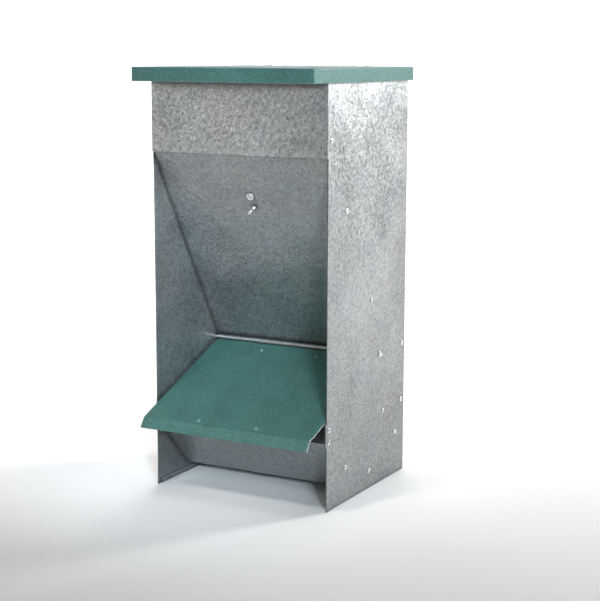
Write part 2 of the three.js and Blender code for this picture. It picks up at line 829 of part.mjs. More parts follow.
function feedFlap() {
  const down_lip = new THREE.Vector2(-Math.cos(lip_bend), -Math.sin(lip_bend));
  const under_lip = new THREE.Vector2(-down_lip.y, down_lip.x);
  const fold = new THREE.Vector2(-flap_length, flap_line);
  const lip_end = fold.clone().addScaledVector(down_lip, lip_length - sheet / 2);
  const lip_back = lip_end.clone().addScaledVector(under_lip, hem_pitch);
  const section = folded([
    lip_back.clone().addScaledVector(down_lip, -hem_width),
    lip_back,
    lip_end,
    [...fold.toArray(), lip_radius],
    [-barrel_radius - lap, flap_line],
  ], hem_radius);
  const sheet_half = flap_half - hem_reach;
  const side_hem = (side) => folded([
    [side * (flap_half - 2 * hem_width), flap_line],
    [side * (flap_half - sheet / 2), flap_line],
    [side * (flap_half - sheet / 2), flap_line - hem_pitch],
    [side * (flap_half - hem_width), flap_line - hem_pitch],
  ], hem_radius);
  const hem_front = front_flap_rivet_setback - flap_length;
  const hems = [-1, 1].map((side) => alongY(side_hem(side), hem_front, -hinge_leaf - corner_relief));
  return cut(join(alongX(section, -sheet_half, sheet_half), hems), flap_rivets.map(rivetHole));
}

place(flap_group, "feed_flap", toGeometry(feedFlap()), green_paint);

// Hinge strip: its rolled barrel turns on the rod and its leaf carries the flap from below
function flapHingeStrip() {
  const section = folded([
    [-hinge_leaf, -barrel_line],
    [barrel_line, -barrel_line],
    [barrel_line, barrel_line],
    [-barrel_line, barrel_line],
    [-barrel_line, flap_top + curl_gap],
  ], barrel_line);
  return cut(alongX(section, -flap_half, flap_half), rear_flap_rivets.map(rivetHole));
}

place(flap_group, "flap_hinge_strip", toGeometry(flapHingeStrip()), galvanised);

// Stiffener: a galvanised angle under the flap, just behind its lip
function flapStiffener() {
  const line = flap_line - hem_pitch;
  const front = stiffener_setback - flap_length;
  const section = folded([
    [front, line],
    [front + stiffener_width, line],
    [front + stiffener_width, line - stiffener_leg],
  ], bend_radius);
  const reach = flap_half - stiffener_end_gap;
  return cut(alongX(section, -reach, reach), front_flap_rivets.map(rivetHole));
}

place(flap_group, "flap_stiffener", toGeometry(flapStiffener()), galvanised);
flap_rivets.forEach((rivet) => addRivet(flap_group, rivet));

// Rod of the flap, with a push-on retainer outside each side panel
const rod_at = new THREE.Vector3(0, rod_y, rod_z);
const rod_length = body_width + 2 * rod_overhang;
place(body, "flap_rod", toGeometry(bar(rod_radius, rod_length, rod_at, axis_x, round_sides)), bright_steel);

for (const [side, name] of [[-1, "left"], [1, "right"]]) {
  const retainer = place(body, `rod_retainer_${name}`, turned([
    [rod_radius + lap, lap + retainer_dish],
    [retainer_radius, lap],
    [retainer_radius, lap + retainer_thickness],
    [rod_radius + lap, lap + retainer_dish + retainer_thickness],
    [rod_radius + lap, lap + retainer_dish],
  ], round_sides), bright_steel);
  retainer.position.set(side * half_width, rod_y, rod_z);
  retainer.quaternion.setFromUnitVectors(axis_y, new THREE.Vector3(side, 0, 0));
}

// Lid: a box lid without a rear flange, so that it can swing up on its hinges
function roundedOutline(left, right, low, high, rounded, radius) {
  const shape = new THREE.Shape();
  const ends = [[left, low, 1, 1], [right, low, -1, 1], [right, high, -1, -1], [left, high, 1, -1]];
  ends.forEach(([x, y, inward_x, inward_y], index) => {
    const start = Math.PI + (index * Math.PI) / 2;
    if (rounded[index]) {
      shape.absarc(x + inward_x * radius, y + inward_y * radius, radius, start, start + Math.PI / 2);
    } else if (index === 0) {
      shape.moveTo(x, y);
    } else {
      shape.lineTo(x, y);
    }
  });
  return shape;
}

const lid_half = half_width + lid_side_overhang;
const lid_rear = body_depth + lid_back_overhang;
const lid_bottom = total_height - lid_flange;

function lidBlock(inset, rear, low, high) {
  const radius = lid_radius - Math.min(inset, sheet);
  const half = lid_half - inset;
  const front = -lid_front_overhang + inset;
  const width_section = roundedOutline(-half, half, low, high, [false, false, true, true], radius);
  const depth_section = roundedOutline(front, rear, low, high, [false, false, false, true], radius);
  const plan = roundedOutline(-half, half, front, rear, [true, true, false, false], radius);
  return alongY(width_section, front, rear)
    .intersect(alongX(depth_section, -half, half))
    .intersect(alongZ(plan, low, high));
}

function lid() {
  const rear = lid_rear - hem_reach;
  const hem_top = lid_bottom + hem_width;
  const shell = cut(
    lidBlock(0, rear, lid_bottom, total_height),
    lidBlock(sheet, rear + overrun, lid_bottom - overrun, lid_underside),
  );
  const ring = (inset, from, to) => cut(
    lidBlock(inset, rear, from, to + lid_radius),
    lidBlock(hem_pitch + sheet, rear + overrun, from - overrun, to + lid_radius + overrun),
    alongZ(rectangle(-lid_half, lid_half, -lid_front_overhang, lid_rear), to, to + 2 * lid_radius),
  );
  const line = total_height - sheet / 2;
  const knuckle_back = hinge_y + knuckle_radius + lap;
  const rear_hem = folded([
    [knuckle_back, line],
    [lid_rear - sheet / 2, line],
    [lid_rear - sheet / 2, line - hem_pitch],
    [knuckle_back + lap, line - hem_pitch],
  ], hem_radius);
  const reach = lid_half - hem_pitch - sheet - corner_relief;
  return cut(
    join(
      shell,
      ring(0, lid_bottom, lid_bottom + sheet),
      ring(hem_pitch, lid_bottom, hem_top),
      alongX(rear_hem, -reach, reach),
    ),
    lid_leaf_rivets.map(rivetHole),
  );
}

place(body, "lid", toGeometry(lid()), green_paint);
lid_leaf_rivets.forEach((rivet) => addRivet(body, rivet));

// Lid hinges: the back leaf carries the two outer knuckles and the lid leaf the middle one
const knuckle_length = (leaf_width - 2 * lap) / 3;

function hingeLeaf(x, section, plate, spans, rivets) {
  const knuckles = spans.map(([from, to]) => alongX(section, x + from, x + to));
  return cut(
    join(alongX(plate, x - leaf_width / 2, x + leaf_width / 2), knuckles),
    rivets.map(rivetHole),
  );
}

hinge_places.forEach((x, hinge) => {
  const name = hinge_names[hinge];
  const low = hinge_z - knuckle_line;
  const high = hinge_z + knuckle_line;
  const near = hinge_y - knuckle_line;
  const far = hinge_y + knuckle_line;
  const gap = lap + knuckle_radius;
  const outer_spans = [
    [-leaf_width / 2, knuckle_length - leaf_width / 2],
    [leaf_width / 2 - knuckle_length, leaf_width / 2],
  ];
  const inner_span = [[-knuckle_length / 2, knuckle_length / 2]];
  const mine = (rivets) => rivets.filter((rivet) => rivet.name.includes(name));

  const back_section = folded(
    [[near, leaf_foot], [near, high], [far, high], [far, low], [near + leaf_plate + lap, low]],
    knuckle_line,
    leaf_plate,
  );
  const back_plate = rectangle(near - leaf_plate / 2, near + leaf_plate / 2, leaf_foot, hinge_z - gap);
  const back_leaf = hingeLeaf(x, back_section, back_plate, outer_spans, mine(back_leaf_rivets));
  place(body, `back_leaf_${name}`, toGeometry(back_leaf), galvanised);

  const lid_section = folded(
    [[leaf_front, high], [far, high], [far, low], [near, low], [near, high - leaf_plate - lap]],
    knuckle_line,
    leaf_plate,
  );
  const lid_plate = rectangle(leaf_front, hinge_y - gap, high - leaf_plate / 2, high + leaf_plate / 2);
  const lid_leaf = hingeLeaf(x, lid_section, lid_plate, inner_span, mine(lid_leaf_rivets));
  place(body, `lid_leaf_${name}`, toGeometry(lid_leaf), galvanised);

  const pin = place(body, `hinge_pin_${name}`, turned([
    [0, -leaf_width / 2 - lap - hinge_pin_head],
    [hinge_pin_radius + hinge_pin_head, -leaf_width / 2 - lap - hinge_pin_head],
    [hinge_pin_radius + hinge_pin_head, -leaf_width / 2 - lap],
    [hinge_pin_radius, -leaf_width / 2 - lap],
    [hinge_pin_radius, leaf_width / 2 + lap],
    [hinge_pin_radius + hinge_pin_head, leaf_width / 2 + lap],
    [hinge_pin_radius + hinge_pin_head, leaf_width / 2 + lap + hinge_pin_head],
    [0, leaf_width / 2 + lap + hinge_pin_head],
  ], round_sides), bright_steel);
  pin.position.set(x, hinge_y, hinge_z);
  pin.quaternion.setFromUnitVectors(axis_y, axis_x);
});

// The origin lies on the floor, under the middle of the feeder
const reach = new THREE.Box3().setFromObject(body, true);
body.position.y = -(reach.min.y + reach.max.y) / 2;

export default feeder;
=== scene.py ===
"""Galvanised hopper feeder: finishes, fine fasteners, stage, lights and camera around the CAD frame."""

import json
import math

import bmesh
import bpy
from mathutils import Euler, Matrix, Vector


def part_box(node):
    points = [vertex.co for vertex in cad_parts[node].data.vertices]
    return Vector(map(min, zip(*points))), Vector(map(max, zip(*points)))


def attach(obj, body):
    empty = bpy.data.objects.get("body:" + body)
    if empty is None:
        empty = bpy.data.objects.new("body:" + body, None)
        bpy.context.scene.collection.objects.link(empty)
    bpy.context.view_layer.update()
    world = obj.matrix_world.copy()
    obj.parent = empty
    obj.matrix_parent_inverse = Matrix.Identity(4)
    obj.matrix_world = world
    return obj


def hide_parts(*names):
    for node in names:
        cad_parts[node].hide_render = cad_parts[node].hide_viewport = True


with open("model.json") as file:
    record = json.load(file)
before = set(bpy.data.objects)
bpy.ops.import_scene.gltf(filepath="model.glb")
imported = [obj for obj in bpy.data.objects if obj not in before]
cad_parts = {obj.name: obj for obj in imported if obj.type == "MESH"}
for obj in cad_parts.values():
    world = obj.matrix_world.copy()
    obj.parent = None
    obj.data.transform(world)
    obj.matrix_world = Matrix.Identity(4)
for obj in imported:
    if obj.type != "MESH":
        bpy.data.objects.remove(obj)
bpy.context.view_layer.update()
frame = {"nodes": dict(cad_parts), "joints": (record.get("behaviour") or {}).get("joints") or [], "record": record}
nodes = frame["nodes"]
record = frame["record"]

MM = 0.001
BODY_OF = {node: body for body, members in record["behaviour"]["bodies"].items() for node in members}

# The photograph's camera, from the front edge of the right side panel
IMAGE_WIDTH_PX = 600
FOCAL_PX = 1446.68
SENSOR_MM = 36
CAMERA_RIGHT = 1.1033
CAMERA_AHEAD = 1.8218
CAMERA_HEIGHT = 0.6733
CAMERA_YAW = math.radians(28.73)
CAMERA_PITCH = math.radians(9.78)
CAMERA_ROLL = math.radians(0.18)


def add_camera():
    data = bpy.data.cameras.new("camera")
    data.sensor_fit = "HORIZONTAL"
    data.sensor_width = SENSOR_MM
    data.lens = SENSOR_MM * FOCAL_PX / IMAGE_WIDTH_PX
    camera = bpy.data.objects.new("camera", data)
    bpy.context.scene.collection.objects.link(camera)
    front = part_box("side_panel_right")[0].y
    turn = Matrix.Rotation(CAMERA_YAW, 4, "Z") @ Matrix.Rotation(math.pi / 2 - CAMERA_PITCH, 4, "X")
    place = Matrix.Translation((CAMERA_RIGHT, front - CAMERA_AHEAD, CAMERA_HEIGHT))
    camera.matrix_world = place @ turn @ Matrix.Rotation(CAMERA_ROLL, 4, "Z")
    bpy.context.scene.camera = camera


# Shader building. A span is a pair of values, and most of a noise's values lie in NOISE_SPAN.
UNIT_SPAN = (0, 1)
NOISE_SPAN = (0.3, 0.7)
NOISE_CORE = (0.35, 0.65)
EDGE_SPAN = (0.985, 0.86)
SIDEWAYS_LIMIT = 0.9
RAY_SAMPLES = 8


def new_material(name):
    material = bpy.data.materials.new(name)
    material.use_nodes = True
    tree = material.node_tree
    shader = next(node for node in tree.nodes if node.type == "BSDF_PRINCIPLED")
    return material, tree, shader


def put(tree, socket, value):
    if hasattr(value, "is_output"):
        tree.links.new(value, socket)
    elif isinstance(value, tuple) and len(value) == 3 and socket.type == "RGBA":
        socket.default_value = (*value, 1)
    else:
        socket.default_value = value


def add_node(tree, kind, **inputs):
    node = tree.nodes.new(kind)
    for key, value in inputs.items():
        put(tree, node.inputs[key.replace("_", " ")], value)
    return node


def math_node(tree, operation, first, second=None, clamp=False):
    node = tree.nodes.new("ShaderNodeMath")
    node.operation = operation
    node.use_clamp = clamp
    put(tree, node.inputs[0], first)
    if second is not None:
        put(tree, node.inputs[1], second)
    return node.outputs[0]


def vector_math(tree, operation, first, second=None):
    node = tree.nodes.new("ShaderNodeVectorMath")
    node.operation = operation
    put(tree, node.inputs[0], first)
    if second is not None:
        put(tree, node.inputs[1], second)
    return node.outputs["Value"] if operation == "DOT_PRODUCT" else node.outputs["Vector"]


def product(tree, *values):
    total = values[0]
    for value in values[1:]:
        total = math_node(tree, "MULTIPLY", total, value)
    return total


def mix_colour(tree, factor, first, second, blend="MIX"):
    node = tree.nodes.new("ShaderNodeMix")
    node.data_type = "RGBA"
    node.blend_type = blend
    for socket, value in ((node.inputs[0], factor), (node.inputs[6], first), (node.inputs[7], second)):
        put(tree, socket, value)
    return node.outputs[2]


def mix_value(tree, factor, first, second):
    node = tree.nodes.new("ShaderNodeMix")
    for socket, value in ((node.inputs[0], factor), (node.inputs[2], first), (node.inputs[3], second)):
        put(tree, socket, value)
    return node.outputs[0]


# A value's span, carried over to another span
def map_range(tree, value, source, target):
    node = tree.nodes.new("ShaderNodeMapRange")
    tree.links.new(value, node.inputs["Value"])
    for way, span in (("From", source), ("To", target)):
        node.inputs[f"{way} Min"].default_value, node.inputs[f"{way} Max"].default_value = span
    return node.outputs["Result"]


def object_place(tree):
    return tree.nodes.new("ShaderNodeTexCoord").outputs["Object"]


def height_of(tree, place):
    return add_node(tree, "ShaderNodeSeparateXYZ", Vector=place).outputs["Z"]


def voronoi(tree, vector, scale):
    return add_node(tree, "ShaderNodeTexVoronoi", Vector=vector, Scale=scale, Randomness=1.0)


def noise(tree, vector, scale, detail=2.0, roughness=0.5, output="Fac"):
    kind = "ShaderNodeTexNoise"
    node = add_node(tree, kind, Vector=vector, Scale=scale, Detail=detail, Roughness=roughness)
    return node.outputs[output]


def bump(tree, height, strength, distance, normal=None):
    node = add_node(tree, "ShaderNodeBump", Strength=strength, Distance=distance, Height=height)
    if normal is not None:
        put(tree, node.inputs["Normal"], normal)
    return node.outputs["Normal"]


# The normal with its edges rounded, and a mask that is 1 on an edge and 0 on the flat of a sheet
def rounded_edges(tree, radius):
    bevel = add_node(tree, "ShaderNodeBevel", Radius=radius)
    bevel.samples = RAY_SAMPLES
    flat = tree.nodes.new("ShaderNodeNewGeometry").outputs["True Normal"]
    facing = vector_math(tree, "DOT_PRODUCT", bevel.outputs["Normal"], flat)
    return bevel.outputs["Normal"], map_range(tree, facing, EDGE_SPAN, UNIT_SPAN)


# A normal that each crystal tilts its own way, by its random colour
def tilted_normal(tree, normal, colour, amount):
    centred = vector_math(tree, "SUBTRACT", colour, (0.5, 0.5, 0.5))
    tilt = vector_math(tree, "MULTIPLY", centred, (amount, amount, amount))
    total = vector_math(tree, "ADD", normal, tilt)
    return vector_math(tree, "NORMALIZE", total)


# 1 where the surface faces left or right, else 0
def facing_sideways(tree):
    flat = tree.nodes.new("ShaderNodeNewGeometry").outputs["True Normal"]
    along = vector_math(tree, "DOT_PRODUCT", flat, (1, 0, 0))
    return math_node(tree, "GREATER_THAN", math_node(tree, "ABSOLUTE", along), SIDEWAYS_LIMIT)


# How open a point is to its surroundings, from 0 in a corner to 1
def openness(tree, distance):
    shade = add_node(tree, "ShaderNodeAmbientOcclusion", Distance=distance)
    shade.samples = RAY_SAMPLES
    return shade.outputs["AO"]


# Galvanised sheet: zinc spangle whose crystals differ in shade, gloss and tilt, on sheet that is never
# quite flat. A scale is in cells for each metre, and shades multiply the zinc's colour. Edges are pale,
# partly worn zinc and partly a painted highlight; on shaded rims they are dark, a painted shade. Corners
# and seams are darkened with painted shade, and the sheet is painted darker towards the bottom.
SPANGLE_SCALE = 290
SPANGLE_SHADES = (0.74, 1.14)
SPANGLE_ROUGHNESS = (0.3, 0.5)
SPANGLE_TILT = 0.1
FLECK_SCALE = 760
FLECK_SPAN = (0.1, 0.4)
FLECK_SHADES = (0.6, 1.06)
FLECK_TILT = 0.16
DRIFT_SCALE = 120
DRIFT = 4 * MM
CLOUD_SCALE = 9
CLOUD_SHADES = (0.82, 1.12)
CLOUD_ROUGHNESS = (-0.05, 0.06)
MOTTLE_SCALE = 130
MOTTLE_SHADES = (0.93, 1.07)
GRAIN_STRETCH = (900, 900, 70)
GRAIN_SHADES = (0.92, 1.06)
HUE_SCALE = 14
WARM_ZINC = (0.402, 0.413, 0.408)
COOL_ZINC = (0.385, 0.41, 0.416)
BUCKLE_SCALE = 7
BUCKLE_HEIGHT = 12 * MM
SHEET_METALLIC = 0.8
EDGE_METALLIC = 0.3
EDGE_RADIUS = 0.8 * MM
# Edges are pale: partly worn zinc, partly a painted highlight
WORN_HIGHLIT_EDGE = {"colour": (0.78, 0.8, 0.8), "share": 0.8, "roughness": 0.2}
# Painted shade: on shaded rims the edges are dark
SHADED_RIM_EDGE = {"colour": (0.05, 0.053, 0.056), "share": 0.85, "roughness": 0.5}
# Painted shade: the sheet is darker in corners and seams where the sheets meet
CORNER_SHADE_REACH = 9 * MM
CORNER_SHADE_SPAN = (0.4, 0.93)
CORNER_SHADE_FACTORS = (0.45, 1)
# Painted shade: the sheet grows darker towards the bottom, below 450 mm
LOW_SHADE_SPAN = (0, 450 * MM)
LOW_SHADE_FACTORS = (0.84, 1)


def galvanised_material(name, shaded_rims=False):
    edge_look = SHADED_RIM_EDGE if shaded_rims else WORN_HIGHLIT_EDGE
    material, tree, shader = new_material(name)
    place = object_place(tree)
    drift = noise(tree, place, DRIFT_SCALE, detail=1.0, output="Color")
    drifted = vector_math(tree, "ADD", place, vector_math(tree, "MULTIPLY", drift, (DRIFT, DRIFT, DRIFT)))
    crystals = voronoi(tree, drifted, SPANGLE_SCALE)
    flecks = voronoi(tree, drifted, FLECK_SCALE)
    clouds = noise(tree, place, CLOUD_SCALE, detail=4.0, roughness=0.6)
    mottle = noise(tree, drifted, MOTTLE_SCALE, detail=3.0, roughness=0.6)
    hue = noise(tree, place, HUE_SCALE)
    grain = noise(tree, vector_math(tree, "MULTIPLY", place, GRAIN_STRETCH), 1.0, detail=1.0)
    rounded, edge = rounded_edges(tree, EDGE_RADIUS)
    # Painted shade: every face that does not face sideways takes the dark edge colour
    if shaded_rims:
        rim = math_node(tree, "SUBTRACT", 1.0, facing_sideways(tree))
        edge = math_node(tree, "MAXIMUM", edge, rim)
    shade = product(
        tree,
        map_range(tree, crystals.outputs["Color"], UNIT_SPAN, SPANGLE_SHADES),
        map_range(tree, flecks.outputs["Color"], FLECK_SPAN, FLECK_SHADES),
        map_range(tree, clouds, NOISE_SPAN, CLOUD_SHADES),
        map_range(tree, mottle, NOISE_CORE, MOTTLE_SHADES),
        map_range(tree, grain, NOISE_SPAN, GRAIN_SHADES),
        # painted shade in corners and seams
        map_range(tree, openness(tree, CORNER_SHADE_REACH), CORNER_SHADE_SPAN, CORNER_SHADE_FACTORS),
        # painted shade, darker towards the bottom
        map_range(tree, height_of(tree, place), LOW_SHADE_SPAN, LOW_SHADE_FACTORS),
    )
    tint = mix_colour(tree, map_range(tree, hue, NOISE_CORE, UNIT_SPAN), WARM_ZINC, COOL_ZINC)
    sheet = mix_colour(tree, 1.0, tint, shade, blend="MULTIPLY")
    # Edges take the edge colour: pale, partly wear and partly painted highlight, or on shaded rims a dark painted
    # shade
    colour = mix_colour(tree, product(tree, edge, edge_look["share"]), sheet, edge_look["colour"])
    tree.links.new(colour, shader.inputs["Base Color"])
    roughness = math_node(
        tree,
        "ADD",
        map_range(tree, crystals.outputs["Color"], UNIT_SPAN, SPANGLE_ROUGHNESS),
        map_range(tree, clouds, NOISE_SPAN, CLOUD_ROUGHNESS),
    )
    tree.links.new(mix_value(tree, edge, roughness, edge_look["roughness"]), shader.inputs["Roughness"])
    tree.links.new(mix_value(tree, edge, SHEET_METALLIC, EDGE_METALLIC), shader.inputs["Metallic"])
    facets = tilted_normal(tree, rounded, crystals.outputs["Color"], SPANGLE_TILT)
    facets = tilted_normal(tree, facets, flecks.outputs["Color"], FLECK_TILT)
    buckle = noise(tree, place, BUCKLE_SCALE, detail=1.0)
    bent = bump(tree, buckle, strength=1.0, distance=BUCKLE_HEIGHT, normal=facets)
    tree.links.new(bent, shader.inputs["Normal"])
    return material


# Green paint: satin, with slight mottling, an orange-peel ripple and edges worn to the zinc.
# Each paint has a deep and a pale shade. Cut ends are bare zinc.
LID_PAINT = ((0.05, 0.134, 0.122), (0.09, 0.236, 0.214))
# Painted shade: the flap's paint is the lid's green made darker
SHADED_FLAP_PAINT = ((0.037, 0.096, 0.087), (0.065, 0.17, 0.153))
# Every edge is paler green: partly rubbed paint, partly a painted highlight
RUBBED_HIGHLIT_PAINT = (0.16, 0.4, 0.36)
RUBBED_HIGHLIT_SHARE = 0.5
BARE_ZINC = (0.86, 0.9, 0.88)
BARE_METALLIC = 0.4
PAINT_MOTTLE_SCALE = 22
PAINT_MOTTLE_SPAN = (0.35, 0.7)
PAINT_MOTTLE_SHARES = (0, 0.5)
PAINT_SPECK_SCALE = 330
PAINT_SPECK_SHARES = (0, 0.6)
PAINT_CHIP_SCALE = 160
PAINT_CHIP_SPAN = (0.3, 0.5)
PAINT_CHIP_SHARES = (0.25, 1)
PAINT_ROUGHNESS = (0.4, 0.55)
PAINT_SPECULAR = 0.25
PAINT_BUCKLE_HEIGHT = 5 * MM
PEEL_SCALE = 450
PEEL_HEIGHT = 0.6 * MM


def paint_material(name, shades, cut_ends=False):
    material, tree, shader = new_material(name)
    place = object_place(tree)
    mottle = noise(tree, place, PAINT_MOTTLE_SCALE, detail=5.0, roughness=0.65)
    speck = noise(tree, place, PAINT_SPECK_SCALE, detail=1.0)
    rounded, edge = rounded_edges(tree, EDGE_RADIUS)
    chips = noise(tree, place, PAINT_CHIP_SCALE, detail=3.0)
    worn = product(tree, edge, map_range(tree, chips, PAINT_CHIP_SPAN, PAINT_CHIP_SHARES))
    if cut_ends:
        worn = math_node(tree, "MAXIMUM", worn, facing_sideways(tree))
    blend = math_node(
        tree,
        "ADD",
        map_range(tree, mottle, PAINT_MOTTLE_SPAN, PAINT_MOTTLE_SHARES),
        map_range(tree, speck, NOISE_CORE, PAINT_SPECK_SHARES),
        clamp=True,
    )
    paint = mix_colour(tree, blend, *shades)
    # paler edges, partly rubbed paint and partly a painted highlight
    paint = mix_colour(tree, product(tree, edge, RUBBED_HIGHLIT_SHARE), paint, RUBBED_HIGHLIT_PAINT)
    tree.links.new(mix_colour(tree, worn, paint, BARE_ZINC), shader.inputs["Base Color"])
    tree.links.new(product(tree, worn, BARE_METALLIC), shader.inputs["Metallic"])
    satin = map_range(tree, mottle, NOISE_SPAN, PAINT_ROUGHNESS)
    tree.links.new(mix_value(tree, worn, satin, WORN_HIGHLIT_EDGE["roughness"]), shader.inputs["Roughness"])
    shader.inputs["Specular IOR Level"].default_value = PAINT_SPECULAR
    peel = noise(tree, place, PEEL_SCALE, detail=1.0)
    buckle = noise(tree, place, BUCKLE_SCALE, detail=1.0)
    bent = bump(tree, buckle, strength=0.25, distance=PAINT_BUCKLE_HEIGHT, normal=rounded)
    rippled = bump(tree, peel, strength=0.35, distance=PEEL_HEIGHT, normal=bent)
    tree.links.new(rippled, shader.inputs["Normal"])
    return material


# Zinc plate of the fasteners: finely grained, stained here and there, and darkened with painted shade where the
# forms meet
PLATE_COLOUR = (0.88, 0.89, 0.9)
PLATE_ROUGHNESS = (0.16, 0.32)
PLATE_GRAIN_SCALE = 700
PLATE_GRAIN_SHADES = (0.85, 1.08)
PLATE_GRAIN_HEIGHT = 0.2 * MM
PLATE_STAIN_SCALE = 60
PLATE_STAIN_SHADES = (0.85, 1.05)
# Painted shade where the forms meet
PLATE_CORNER_SHADE_REACH = 2.5 * MM
PLATE_CORNER_SHADE_SPAN = (0.3, 0.95)
PLATE_CORNER_SHADE_FACTORS = (0.25, 1)


def zinc_material(name):
    material, tree, shader = new_material(name)
    place = object_place(tree)
    grain = noise(tree, place, PLATE_GRAIN_SCALE, detail=3.0)
    stain = noise(tree, place, PLATE_STAIN_SCALE, detail=3.0)
    shade = product(
        tree,
        map_range(tree, grain, NOISE_SPAN, PLATE_GRAIN_SHADES),
        map_range(tree, stain, NOISE_SPAN, PLATE_STAIN_SHADES),
        # painted shade where the forms meet
        map_range(tree, openness(tree, PLATE_CORNER_SHADE_REACH), PLATE_CORNER_SHADE_SPAN, PLATE_CORNER_SHADE_FACTORS),
    )
    colour = mix_colour(tree, 1.0, PLATE_COLOUR, shade, blend="MULTIPLY")
    tree.links.new(colour, shader.inputs["Base Color"])
    tree.links.new(map_range(tree, grain, NOISE_SPAN, PLATE_ROUGHNESS), shader.inputs["Roughness"])
    shader.inputs["Metallic"].default_value = 1.0
    grained = bump(tree, grain, strength=0.1, distance=PLATE_GRAIN_HEIGHT)
    tree.links.new(grained, shader.inputs["Normal"])
    return material


slot_materials = {
    "galvanized_sheet": galvanised_material("galvanised_sheet"),
    "green_paint": paint_material("green_paint", LID_PAINT),
    "zinc_fastener": zinc_material("zinc_plate"),
}

for row in record["subparts"]:
    materials = nodes[row["node"]].data.materials
    materials.clear()
    materials.append(slot_materials[row["material_slot"]])

# The flap is cut from painted sheet, so the paint stops at its side edges
# The flap's green is the darker copy, a painted shade
nodes["feed_flap"].data.materials[0] = paint_material("green_paint_cut", SHADED_FLAP_PAINT, cut_ends=True)

# The side panels' rims are hemmed folds; each rim face is painted dark, a painted shade, where other edges are
# pale
shaded_rim_sheet = galvanised_material("galvanised_shaded_rims", shaded_rims=True)
for side in ("left", "right"):
    nodes[f"side_panel_{side}"].data.materials[0] = shaded_rim_sheet


# Turned fasteners: finer forms of the CAD ones, each on the axis and between the ends of its node.
# A profile is a list of pairs of radius and height in millimetres.
FASTENER_SIDES = 40
SHARP_ANGLE = math.radians(35)


def axis_span(node, way):
    """The lowest point of a node on its axis, and its length along the axis, from its mesh."""
    points = [vertex.co for vertex in nodes[node].data.vertices]
    heights = [point.dot(way) for point in points]
    low, high = min(heights), max(heights)
    spread = [point - way * height for point, height in zip(points, heights)]
    lowest = Vector(min(point[axis] for point in spread) for axis in range(3))
    highest = Vector(max(point[axis] for point in spread) for axis in range(3))
    return (lowest + highest) / 2 + way * low, high - low


def finish_piece(mesh, node, slot="zinc_fastener"):
    name = f"fine_{node}"
    data = bpy.data.meshes.new(name)
    bmesh.ops.recalc_face_normals(mesh, faces=mesh.faces)
    mesh.to_mesh(data)
    mesh.free()
    data.shade_smooth()
    data.set_sharp_from_angle(angle=SHARP_ANGLE)
    data.materials.append(slot_materials[slot])
    piece = bpy.data.objects.new(name, data)
    bpy.context.scene.collection.objects.link(piece)
    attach(piece, BODY_OF[node])
    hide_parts(node)
    return piece


def turn_profile(profile, base, way):
    """A closed solid of revolution, from its profile."""
    mesh = bmesh.new()
    frame_turn = way.to_track_quat("Z", "Y")
    rings = []
    for radius, height in profile:
        if radius == 0:
            rings.append([mesh.verts.new(base + frame_turn @ Vector((0, 0, height * MM)))])
            continue
        ring = []
        for step in range(FASTENER_SIDES):
            angle = 2 * math.pi * step / FASTENER_SIDES
            offset = Vector((radius * math.cos(angle), radius * math.sin(angle), height)) * MM
            ring.append(mesh.verts.new(base + frame_turn @ offset))
        rings.append(ring)
    if len(rings[0]) > 1:
        rings.append(rings[0])
    for first, second in zip(rings, rings[1:]):
        for step in range(FASTENER_SIDES):
            after = (step + 1) % FASTENER_SIDES
            corners = [first[step % len(first)], first[after % len(first)]]
            corners += [second[after % len(second)], second[step % len(second)]]
            mesh.faces.new(dict.fromkeys(corners))
    return mesh


def arc(centre, radius, start, end, steps=5):
    """Points of a profile along an arc, from one angle to another in degrees."""
    turns = (math.radians(start + (end - start) * step / steps) for step in range(steps + 1))
    return [(centre[0] + radius * math.cos(turn), centre[1] + radius * math.sin(turn)) for turn in turns]


def sideways(side):
    return Vector((side, 0, 0))


def middle_of(node):
    low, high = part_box(node)
    return (low + high) / 2


# Blind rivets. The well in the head holds the mandrel's broken end, at heights from the head's top.
RIVET_HEAD = 4
RIVET_RISE = 1.55
RIVET_RIM = 0.25
RIVET_SHANK = 2
RIVET_TAIL = 3
RIVET_TAIL_RISE = 2.3
RIVET_TAIL_END = 0.9
RIVET_TAIL_ROUND = 0.6
RIVET_WELL = [(1.27, 0), (1.15, -0.14), (1.05, -0.85), (0.8, -0.85), (0.7, -0.35), (0, -0.28)]
DOME_ANGLES = range(0, 70, 8)
FINE_BREAK = 0.1


def add_rivet(node, way, slot="zinc_fastener"):
    base, length = axis_span(node, way)
    top = length / MM
    seat = top - RIVET_RISE
    dome_rise = RIVET_RISE - RIVET_RIM
    dome = [
        (RIVET_HEAD * math.cos(turn), seat + RIVET_RIM + dome_rise * math.sin(turn))
        for turn in map(math.radians, DOME_ANGLES)
    ]
    profile = [
        (0, 0),
        *arc((RIVET_TAIL - RIVET_TAIL_END, RIVET_TAIL_END), RIVET_TAIL_END, -90, 0),
        *arc((RIVET_TAIL - RIVET_TAIL_ROUND, RIVET_TAIL_RISE - RIVET_TAIL_ROUND), RIVET_TAIL_ROUND, 0, 90),
        (RIVET_SHANK, RIVET_TAIL_RISE),
        (RIVET_SHANK, seat),
        (RIVET_HEAD - FINE_BREAK, seat),
        *dome,
        *[(radius, top + height) for radius, height in RIVET_WELL],
    ]
    finish_piece(turn_profile(profile, base, way), node, slot)


def add_rivets():
    flap_run = middle_of("flap_front_rivet_left") - middle_of("flap_rear_rivet_left")
    flap_way = Vector((0, flap_run.z, -flap_run.y)).normalized()
    for node in nodes:
        if "rivet" not in node:
            continue
        if node.startswith("flap"):
            add_rivet(node, flap_way, "green_paint")
            continue
        if node.startswith("back_leaf"):
            way = Vector((0, 1, 0))
        elif node.startswith("lid_leaf"):
            way = Vector((0, 0, 1))
        else:
            way = sideways(1 if node.endswith("right") else -1)
        add_rivet(node, way)


